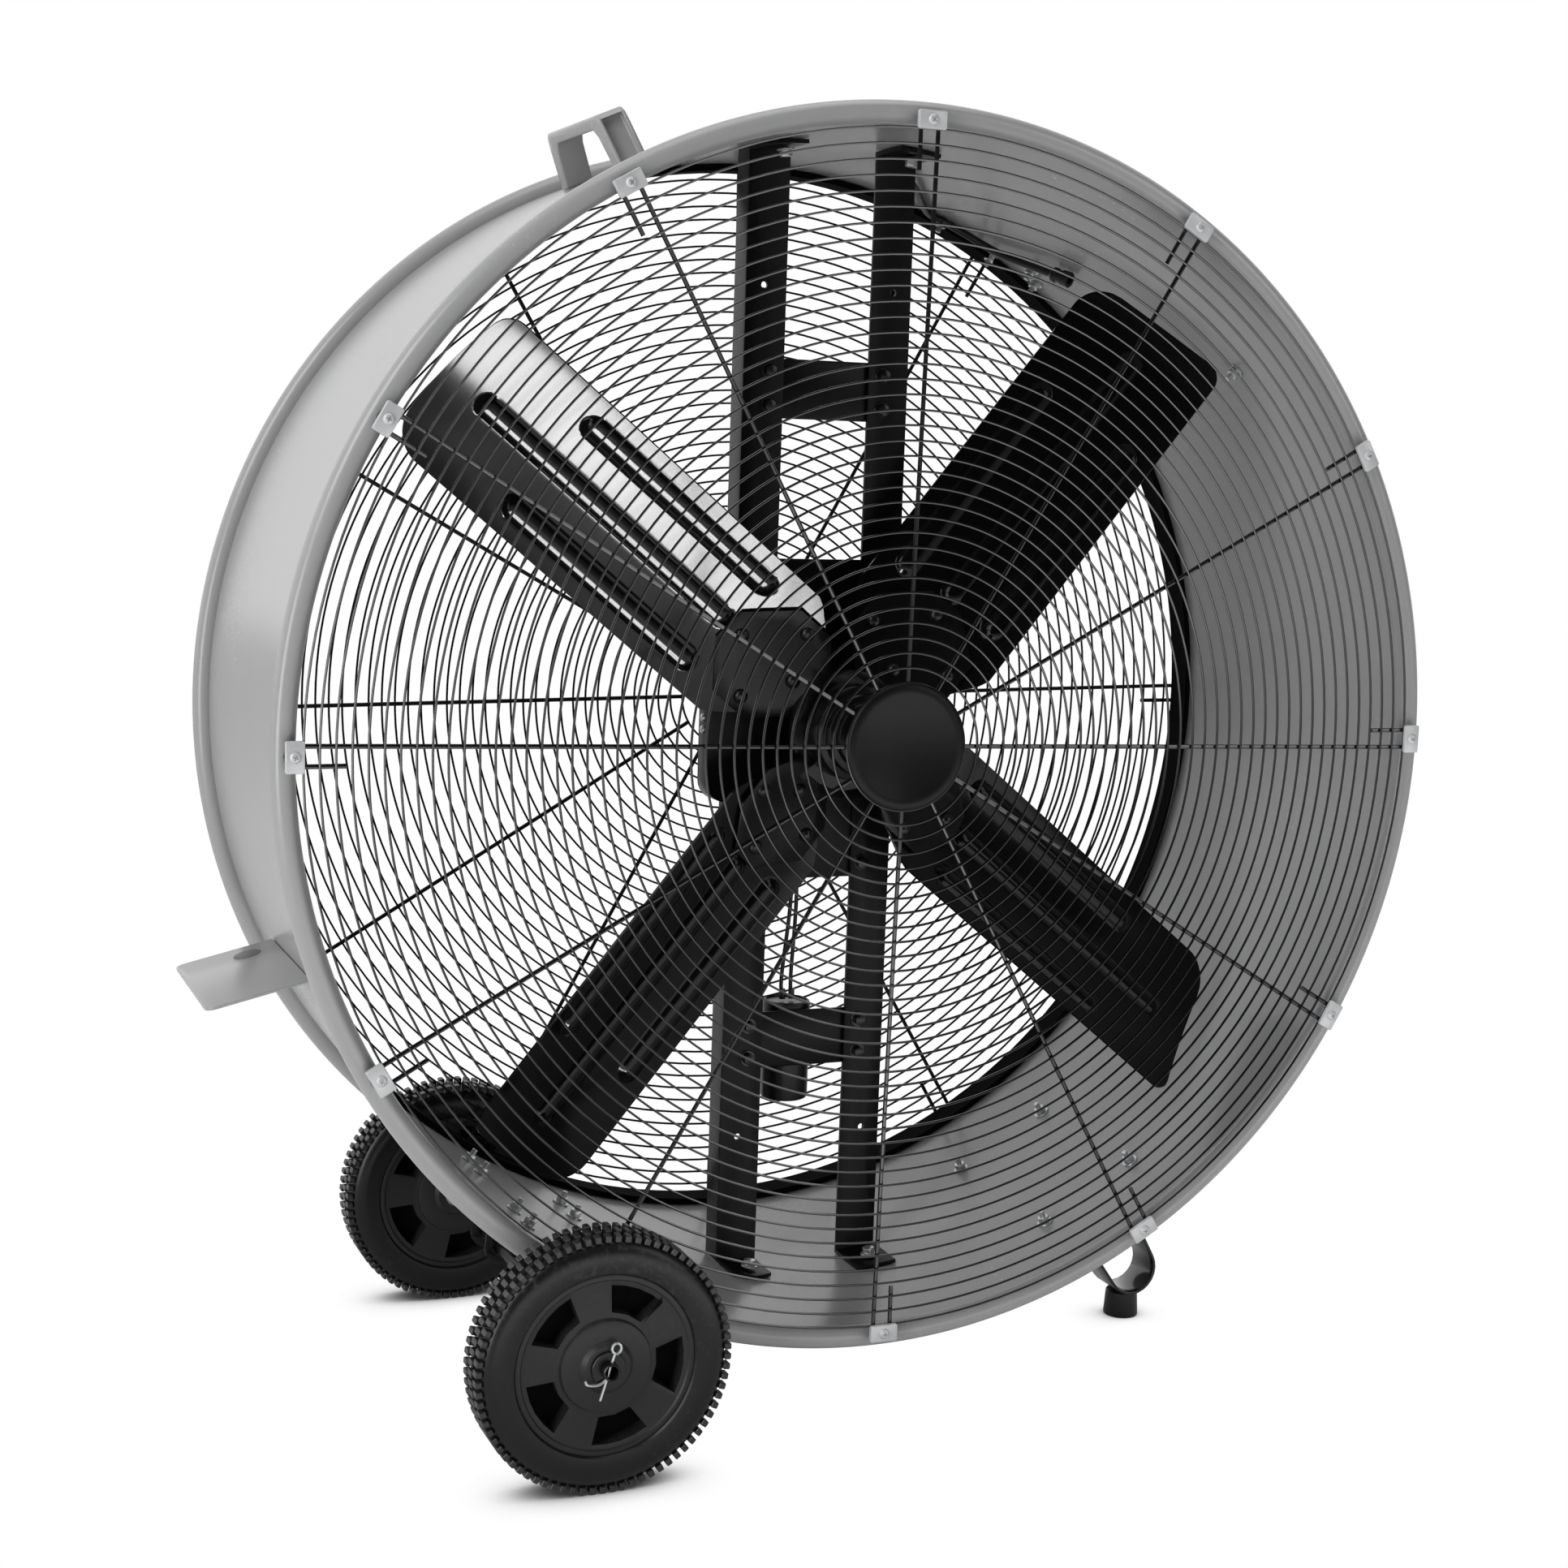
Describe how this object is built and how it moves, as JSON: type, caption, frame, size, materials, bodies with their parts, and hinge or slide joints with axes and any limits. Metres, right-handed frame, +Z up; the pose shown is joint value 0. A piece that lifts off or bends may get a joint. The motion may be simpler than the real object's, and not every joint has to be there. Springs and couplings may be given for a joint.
{
  "type": "drum fan",
  "caption": "Portable drum fan: a rolled steel drum between wire guards, wide blades on a direct-drive motor, two wheels, a rubber foot and a lifting handle.",
  "frame": {"origin": "on the floor, under the middle of the whole fan's box", "axes": "+X to the right seen from the front guard, +Y to the rear along the drum's axis, +Z up"},
  "size_m": [1.2148, 0.6082, 1.2609],
  "materials": {
    "drum_paint": "semi-gloss grey enamel",
    "black_paint": "satin black enamel",
    "blade_paint": "gloss black enamel",
    "rail_paint": "textured charcoal enamel",
    "front_wire": "dark grey wire, gloss",
    "rear_wire": "black wire, satin",
    "zinc": "zinc plated",
    "steel": "ground steel",
    "can_metal": "drawn can, black lacquer",
    "rubber": "moulded rubber, dusty",
    "wheel_plastic": "moulded, scuffed",
    "black_plastic": "moulded black",
    "cable_jacket": "black jacket"
  },
  "bodies": {
    "frame": {"axle": "zinc", "cable_gland": "black_plastic", "capacitor": "can_metal", "capacitor_lead": "cable_jacket", "capacitor_strap": "zinc", "centre_badge": "black_plastic", "drum": "drum_paint", "foot_saddle": "drum_paint", "foot_strap": "black_paint", "front_axle_hanger": "black_paint", "front_bearing": "steel", "front_cotter_pin": "zinc", "front_guard": "front_wire", "front_washer": "zinc", "guard_clip_1": "zinc", "guard_clip_10": "zinc", "guard_clip_11": "zinc", "guard_clip_12": "zinc", "guard_clip_2": "zinc", "guard_clip_3": "zinc", "guard_clip_4": "zinc", "guard_clip_5": "zinc", "guard_clip_6": "zinc", "guard_clip_7": "zinc", "guard_clip_8": "zinc", "guard_clip_9": "zinc", "handle": "drum_paint", "lead_clip": "black_plastic", "lower_cross_plate": "rail_paint", "motor_body": "black_paint", "motor_lead": "cable_jacket", "motor_mount_plate": "rail_paint", "motor_pan": "black_paint", "motor_rear_bell": "black_paint", "rail_left": "rail_paint", "rail_right": "rail_paint", "rear_axle_hanger": "black_paint", "rear_bearing": "steel", "rear_cotter_pin": "zinc", "rear_guard": "rear_wire", "rear_washer": "zinc", "rubber_foot": "rubber", "side_bracket": "drum_paint", "switch_box": "black_plastic", "upper_cross_plate": "rail_paint"},
    "fan_wheel": {"motor_shaft": "steel", "motor_rotor": "steel", "hub_boss": "black_paint", "blade_spider": "black_paint", "blade_1": "blade_paint", "blade_2": "blade_paint", "blade_3": "blade_paint", "blade_4": "blade_paint"},
    "front_wheel": {"front_tyre": "rubber", "front_wheel_disc": "wheel_plastic", "front_wheel_bush": "steel"},
    "rear_wheel": {"rear_tyre": "rubber", "rear_wheel_disc": "wheel_plastic", "rear_wheel_bush": "steel"},
    "knob": {"speed_knob": "black_plastic"}
  },
  "joints": [
    {"name": "fan_spin", "type": "hinge", "parent": "frame", "child": "fan_wheel", "pos_m": [0.01765, 0, 0.67091], "axis": [0, 1, 0], "continuous": true},
    {"name": "front_wheel_spin", "type": "hinge", "parent": "frame", "child": "front_wheel", "pos_m": [-0.28215, -0.2651, 0.12103], "axis": [0, 1, 0], "continuous": true},
    {"name": "rear_wheel_spin", "type": "hinge", "parent": "frame", "child": "rear_wheel", "pos_m": [-0.28215, 0.2651, 0.12103], "axis": [0, 1, 0], "continuous": true},
    {"name": "speed_knob_turn", "type": "hinge", "parent": "frame", "child": "knob", "pos_m": [0.38012, 0.0607, 1.15193], "axis": [0, 1, 0], "range_deg": [0, 120]}
  ]
}
